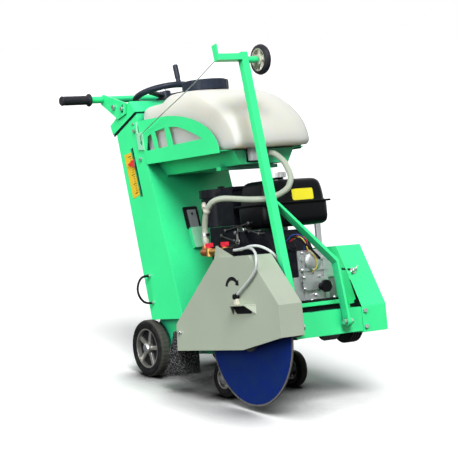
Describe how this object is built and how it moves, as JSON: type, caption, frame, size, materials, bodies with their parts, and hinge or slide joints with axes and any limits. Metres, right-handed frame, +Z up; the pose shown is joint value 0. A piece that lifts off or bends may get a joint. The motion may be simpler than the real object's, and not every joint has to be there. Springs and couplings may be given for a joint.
{
  "type": "walk-behind concrete saw",
  "caption": "Walk-behind concrete saw: engine-driven blade under a guard, raked column with a depth handwheel, water tank, guide arm with a wheel and four wheels.",
  "frame": {"origin": "on the ground under the middle of the machine's length and width", "axes": "+X forward, the way the saw cuts; +Y to the operator's left; +Z up"},
  "size_m": [1.2255, 0.698, 1.1833],
  "materials": {
    "green_paint": "gloss",
    "tank_plastic": "satin",
    "black_plastic": "satin",
    "hose_plastic": "gloss",
    "brass": "satin",
    "red_plastic": "gloss",
    "grey_paint": "satin",
    "bristle": "matte",
    "engine_alloy": "cast",
    "black_paint": "gloss",
    "zinc_steel": "satin",
    "dark_steel": "matte",
    "wire_rubber": "matte",
    "grip_rubber": "matte",
    "cast_iron": "cast",
    "blade_steel": "satin",
    "shaft_steel": "turned",
    "rim_alloy": "cast",
    "rim_cream": "satin",
    "tyre": "matte"
  },
  "bodies": {
    "chassis": {"base_frame": "green_paint", "column_shell": "green_paint", "column_lid": "green_paint", "tank_tray": "green_paint", "water_tank": "tank_plastic", "water_hose": "hose_plastic", "hose_fittings": "black_plastic", "water_valve": "brass", "spray_tube_near": "hose_plastic", "spray_tube_far": "hose_plastic", "blade_guard": "grey_paint", "splash_brush": "bristle", "engine_block": "engine_alloy", "fan_shroud": "black_plastic", "fuel_tank": "black_paint", "air_cleaner": "black_plastic", "muffler": "dark_steel", "carburettor": "engine_alloy", "oil_plugs": "black_paint", "engine_wires": "wire_rubber", "belt_guard": "green_paint", "drive_belts": "wire_rubber", "blade_bearings": "cast_iron", "rear_axle": "zinc_steel", "frame_bolts": "zinc_steel", "wire_hook": "green_paint", "hold_up_wire": "zinc_steel", "cable_loop": "wire_rubber", "spanner": "zinc_steel"},
    "handlebar": {"handle_brackets": "green_paint", "handle_bar": "green_paint", "grips": "grip_rubber"},
    "rear_wheel_right": {"rear_rim_right": "rim_alloy", "rear_tyre_right": "tyre"},
    "rear_wheel_left": {"rear_rim_left": "rim_alloy", "rear_tyre_left": "tyre"},
    "front_axle": {"swing_arm": "green_paint"},
    "front_wheel_right": {"front_rim_right": "rim_alloy", "front_tyre_right": "tyre"},
    "front_wheel_left": {"front_rim_left": "rim_alloy", "front_tyre_left": "tyre"},
    "lift": {"lift_nut": "cast_iron"},
    "depth_wheel": {"handwheel": "black_plastic", "lift_screw": "zinc_steel"},
    "crank_handle": {"crank_knob": "black_plastic"},
    "saw_blade": {"blade": "blade_steel", "blade_flanges": "cast_iron", "blade_shaft": "shaft_steel"},
    "engine_shaft": {"drive_pulley": "cast_iron"},
    "guide_arm": {"guide_pole": "green_paint", "guide_brace": "green_paint"},
    "guide_wheel": {"guide_rim": "rim_cream", "guide_tyre": "tyre"},
    "rear_tap": {"tap_lever_rear": "red_plastic"},
    "front_tap": {"tap_lever_front": "red_plastic"},
    "filler_cap": {"tank_cap": "black_plastic"},
    "petrol_cap": {"fuel_cap": "zinc_steel"},
    "throttle": {"throttle_lever": "zinc_steel"},
    "starter": {"starter_grip": "black_plastic"},
    "stop_switch": {"engine_switch": "red_plastic"}
  },
  "joints": [
    {"name": "handle_tilt", "type": "hinge", "parent": "chassis", "child": "handlebar", "pos_m": [-0.50533, 0, 0.94184], "axis": [0, 1, 0], "range_deg": [-10, 10]},
    {"name": "rear_wheel_right_spin", "type": "hinge", "parent": "chassis", "child": "rear_wheel_right", "pos_m": [-0.291, -0.1635, 0.1], "axis": [0, 1, 0], "continuous": true},
    {"name": "rear_wheel_left_spin", "type": "hinge", "parent": "chassis", "child": "rear_wheel_left", "pos_m": [-0.291, 0.1635, 0.1], "axis": [0, 1, 0], "continuous": true},
    {"name": "front_axle_swing", "type": "hinge", "parent": "chassis", "child": "front_axle", "pos_m": [-0.00958, 0, 0.17697], "axis": [0, -1, 0], "range_deg": [-16.85, 40.7]},
    {"name": "front_wheel_right_spin", "type": "hinge", "parent": "front_axle", "child": "front_wheel_right", "pos_m": [0.14414, -0.14, 0.06302], "axis": [0, 1, 0], "continuous": true},
    {"name": "front_wheel_left_spin", "type": "hinge", "parent": "front_axle", "child": "front_wheel_left", "pos_m": [0.14414, 0.14, 0.06302], "axis": [0, 1, 0], "continuous": true},
    {"name": "nut_travel", "type": "slide", "parent": "chassis", "child": "lift", "axis": [-0.3665, 0, 0.9304], "range_m": [-0.114, 0.048]},
    {"name": "depth_turn", "type": "hinge", "parent": "chassis", "child": "depth_wheel", "pos_m": [-0.4517, 0, 0.98678], "axis": [-0.3665, 0, 0.9304], "range_deg": [-1690, 4070]},
    {"name": "crank_spin", "type": "hinge", "parent": "depth_wheel", "child": "crank_handle", "pos_m": [-0.35929, 0, 1.03866], "axis": [-0.3665, 0, 0.9304], "continuous": true},
    {"name": "blade_spin", "type": "hinge", "parent": "chassis", "child": "saw_blade", "pos_m": [0.37156, -0.205, 0.24443], "axis": [0, 1, 0], "continuous": true},
    {"name": "engine_spin", "type": "hinge", "parent": "chassis", "child": "engine_shaft", "pos_m": [0.26939, 0.19, 0.39732], "axis": [0, 1, 0], "continuous": true},
    {"name": "guide_swing", "type": "hinge", "parent": "chassis", "child": "guide_arm", "pos_m": [0.54507, -0.152, 0.29317], "axis": [0, 1, 0], "range_deg": [0, 125]},
    {"name": "guide_wheel_spin", "type": "hinge", "parent": "guide_arm", "child": "guide_wheel", "pos_m": [0.25364, -0.084, 1.12988], "axis": [0, 1, 0], "continuous": true},
    {"name": "rear_tap_turn", "type": "hinge", "parent": "chassis", "child": "rear_tap", "pos_m": [0.1506, -0.215, 0.50811], "axis": [-0.1564, 0, 0.9877], "range_deg": [0, 90]},
    {"name": "front_tap_turn", "type": "hinge", "parent": "chassis", "child": "front_tap", "pos_m": [0.23949, -0.215, 0.52218], "axis": [-0.1564, 0, 0.9877], "range_deg": [0, 90]},
    {"name": "filler_cap_lift", "type": "slide", "parent": "chassis", "child": "filler_cap", "axis": [-0.1564, 0, 0.9877], "range_m": [0, 0.06]},
    {"name": "petrol_cap_turn", "type": "hinge", "parent": "chassis", "child": "petrol_cap", "pos_m": [0.21557, 0.008, 0.73709], "axis": [-0.1564, 0, 0.9877], "range_deg": [0, 90]},
    {"name": "throttle_swing", "type": "hinge", "parent": "chassis", "child": "throttle", "pos_m": [0.18823, -0.127, 0.52621], "axis": [0, 1, 0], "range_deg": [0, 40]},
    {"name": "starter_pull", "type": "slide", "parent": "chassis", "child": "starter", "axis": [-0.1355, -0.5, 0.8554], "range_m": [0, 0.35], "stiffness_N_per_m": 30},
    {"name": "stop_switch_turn", "type": "hinge", "parent": "chassis", "child": "stop_switch", "pos_m": [0.18036, -0.126, 0.44802], "axis": [0, 1, 0], "range_deg": [0, 60]}
  ],
  "couplings": [
    {"joint": "nut_travel", "follows": "front_axle_swing", "m_per_rad": -0.15869},
    {"joint": "depth_turn", "follows": "front_axle_swing", "ratio": 99.711},
    {"joint": "blade_spin", "follows": "engine_spin", "ratio": 0.86667}
  ]
}
